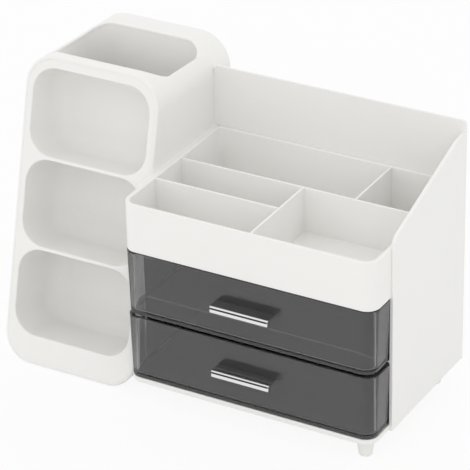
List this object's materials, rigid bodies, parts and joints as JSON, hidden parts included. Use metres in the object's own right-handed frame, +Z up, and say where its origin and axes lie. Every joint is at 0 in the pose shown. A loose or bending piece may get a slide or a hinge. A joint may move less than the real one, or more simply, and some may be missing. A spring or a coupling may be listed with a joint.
{
  "type": "makeup organizer with drawers",
  "caption": "Desktop makeup organizer: a case with smoked drawers and a divided top tray, beside a leaning tower with open pockets and a top bin.",
  "frame": {"origin": "middle of the object's outline, on the table that it stands on", "axes": "+X to the right as seen from the front, +Y to the back, +Z up; the drawers open towards -Y"},
  "size_m": [0.3684, 0.202, 0.2686],
  "materials": {
    "white_plastic": "satin",
    "smoked_plastic": "polished, see-through",
    "chrome": "polished",
    "screw_steel": "bright",
    "rubber": "matte"
  },
  "bodies": {
    "organizer": {"back_panel": "white_plastic", "base_plate": "white_plastic", "drawer_shelf": "white_plastic", "front_foot": "white_plastic", "front_foot_pad": "rubber", "left_side_panel": "white_plastic", "lower_pocket": "white_plastic", "middle_pocket": "white_plastic", "rear_foot": "white_plastic", "rear_foot_pad": "rubber", "right_side_panel": "white_plastic", "top_bin": "white_plastic", "top_tray": "white_plastic", "tower_back_cover": "white_plastic", "tower_front": "white_plastic", "tower_link_pegs": "white_plastic", "tower_pads": "rubber", "tower_shell": "white_plastic", "tower_top": "white_plastic", "tray_centre_divider": "white_plastic", "tray_cross_wall": "white_plastic", "tray_rear_divider": "white_plastic", "tray_rear_wall": "white_plastic", "upper_pocket": "white_plastic"},
    "lower_drawer_box": {"lower_drawer": "smoked_plastic", "lower_drawer_handle": "chrome", "lower_handle_screws": "screw_steel"},
    "upper_drawer_box": {"upper_drawer": "smoked_plastic", "upper_drawer_handle": "chrome", "upper_handle_screws": "screw_steel"}
  },
  "joints": [
    {"name": "lower_drawer_slide", "type": "slide", "parent": "organizer", "child": "lower_drawer_box", "axis": [0, -1, 0], "range_m": [0, 0.11]},
    {"name": "upper_drawer_slide", "type": "slide", "parent": "organizer", "child": "upper_drawer_box", "axis": [0, -1, 0], "range_m": [0, 0.11]}
  ]
}
